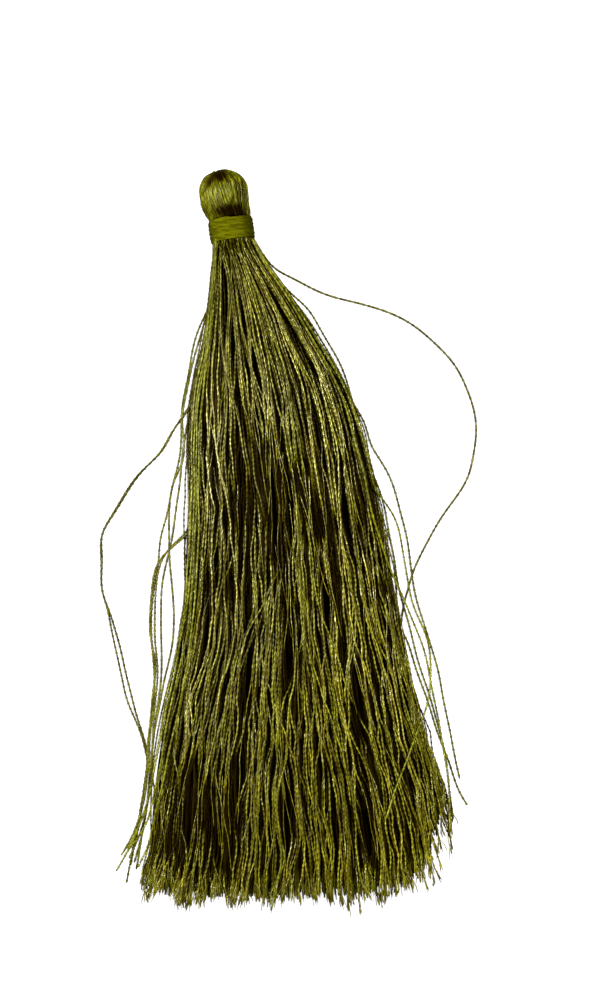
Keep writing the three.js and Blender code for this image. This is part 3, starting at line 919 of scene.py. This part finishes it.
def core():
    """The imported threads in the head, the binding and the skirt's root, seen between the outer ones."""
    # Straight through the binding, then the head's form, a little inside its threads.
    along = np.concatenate([np.linspace(CORE_ENDS[0], 2.2, 6), np.linspace(2.6, 11.6, 20)])
    radius = np.where(along < 2.4, 3.3, head_radius(along) - 0.85)
    ring = np.linspace(0, 2 * math.pi, CORE_SIDES, endpoint=False)
    girth = radius[:, None] + 0.5 * smooth(-2 * np.cos(ring))  # fuller underneath
    side = girth * np.sin(ring) - head_shift(along)[:, None]
    height = girth * np.cos(ring) * FLATTER
    verts = from_neck(side, np.broadcast_to(along[:, None], side.shape), height).reshape(-1, 3)
    ends = from_neck(-head_shift(CORE_ENDS), CORE_ENDS, np.zeros(2))
    verts = np.vstack([verts, ends])
    verts[:, 2] = np.maximum(verts[:, 2], 0.05)

    i, j = np.meshgrid(np.arange(len(along) - 1) * CORE_SIDES, np.arange(CORE_SIDES), indexing="ij")
    beside = (j + 1) % CORE_SIDES
    above = i + CORE_SIDES
    quads = np.stack([i + j, i + beside, above + beside, above + j], -1).reshape(-1, 4)
    low, high = len(verts) - 2, len(verts) - 1
    last = (len(along) - 1) * CORE_SIDES
    around = np.arange(CORE_SIDES)
    onward = (around + 1) % CORE_SIDES
    low_cap = np.stack([np.full(CORE_SIDES, low), onward, around], -1)
    high_cap = np.stack([np.full(CORE_SIDES, high), last + around, last + onward], -1)
    faces = np.vstack([quads[:, [0, 1, 2]], quads[:, [0, 2, 3]], low_cap, high_cap])
    # Painted shade: the core is a darker copy of the silk, with a low shade all over.
    even = {"shade": np.full(len(verts), 0.1), "tint": np.full(len(verts), 0.5), "turn": np.ones(len(verts))}
    mesh_of("packed_core", verts, faces, even, core_silk_in_shade, "thread_bundle")


core()


# The binding: one thread wound round and round

TURNS = 22
TURN_POINTS = 76
WOUND = 0.15  # half-width of the wound thread
BINDING_LONG, BINDING_RADIUS = 4.7, 4.4


def winding():
    """The thread's turns, a little uneven, with both its ends tucked under."""
    turn = np.linspace(0, TURNS * 2 * math.pi, TURNS * TURN_POINTS)
    steady = (turn / (2 * math.pi) / TURNS - 0.5) * (BINDING_LONG - 2 * WOUND)
    along = steady + 0.035 * np.sin(turn * 0.37 + 1.0) + 0.012 * np.sin(turn * 1.7)
    radius = BINDING_RADIUS + 0.05 * np.sin(turn * 0.23) + 0.02 * np.sin(turn * 0.71 + 2)
    ease = smooth(turn / 2.0) * smooth((turn[-1] - turn) / 2.0)
    radius = radius - (1 - ease) * 0.4 - 0.3 * np.abs(steady / (BINDING_LONG / 2)) ** 6
    route = from_neck(radius * np.sin(turn), along, radius * np.cos(turn))
    route[:, 2] = np.maximum(route[:, 2], WOUND * 0.8)
    return route, turn


def wound_shade(turn):
    """A shade of its own for each turn, with painted light on the side towards the viewer and painted shade
    on the flanks.
    """
    tones = rng.uniform(0.75, 1.0, TURNS + 1)
    index = np.linspace(0, TURNS, len(turn)).astype(int)
    return tones[index] * (0.38 + 0.84 * smooth(np.cos(turn + 0.2)) ** 2)


wound_route, wound_turn = winding()
thread_piece("binding_turns", [wound_route], [wound_shade(wound_turn)], binding_silk, "binding_thread",
             "neck_binding", wide=WOUND, narrow=WOUND * 0.8, lobe=LOBE, sides=6, twisted=False, flat=True)


# Stage, light and camera

FLOOR_DROP = 0.0002  # metres that the floor lies under the threads, so that none cuts into it
bpy.ops.mesh.primitive_plane_add(size=3.0, location=(0, 0, -FLOOR_DROP))
floor = bpy.context.object
floor.name = "floor"
floor.visible_glossy = False
paper = bpy.data.materials.new("paper")
paper.use_nodes = True
sheet = paper.node_tree.nodes["Principled BSDF"]
sheet.inputs["Base Color"].default_value = (0.2, 0.2, 0.2, 1)
sheet.inputs["Roughness"].default_value = 0.9
sheet.inputs["Emission Color"].default_value = (1, 1, 1, 1)
sheet.inputs["Emission Strength"].default_value = 0.95
floor.data.materials.append(paper)

LIGHT_SIZE = 0.18  # metres


def area_light(name, place, power):
    """A small soft light that looks at the middle of the tassel, in metres and watts."""
    light = bpy.data.lights.new(name, "AREA")
    light.shape = "RECTANGLE"
    light.size = light.size_y = LIGHT_SIZE
    light.energy = power
    lamp = bpy.data.objects.new(name, light)
    lamp.location = place
    lamp.rotation_euler = (-Vector(place)).to_track_quat("-Z", "Y").to_euler()
    bpy.context.scene.collection.objects.link(lamp)


area_light("key", (0.35, 0.3, 0.9), 21.2)
area_light("side", (-0.7, 0.12, 0.7), 17.5)

world = bpy.data.worlds.new("studio")
world.use_nodes = True
world.node_tree.nodes["Background"].inputs["Color"].default_value = (1, 1, 1, 1)
world.node_tree.nodes["Background"].inputs["Strength"].default_value = 0.1
bpy.context.scene.world = world

camera = bpy.data.objects.new("camera", bpy.data.cameras.new("camera"))
camera.data.lens = 85
camera.data.sensor_width = 36
camera.location = (0.00428, 0.00774, 0.4765)  # straight above the middle of the photo
camera.rotation_euler = (0, 0, 0)
bpy.context.scene.collection.objects.link(camera)
bpy.context.scene.camera = camera
bpy.context.scene.view_settings.view_transform = "Standard"
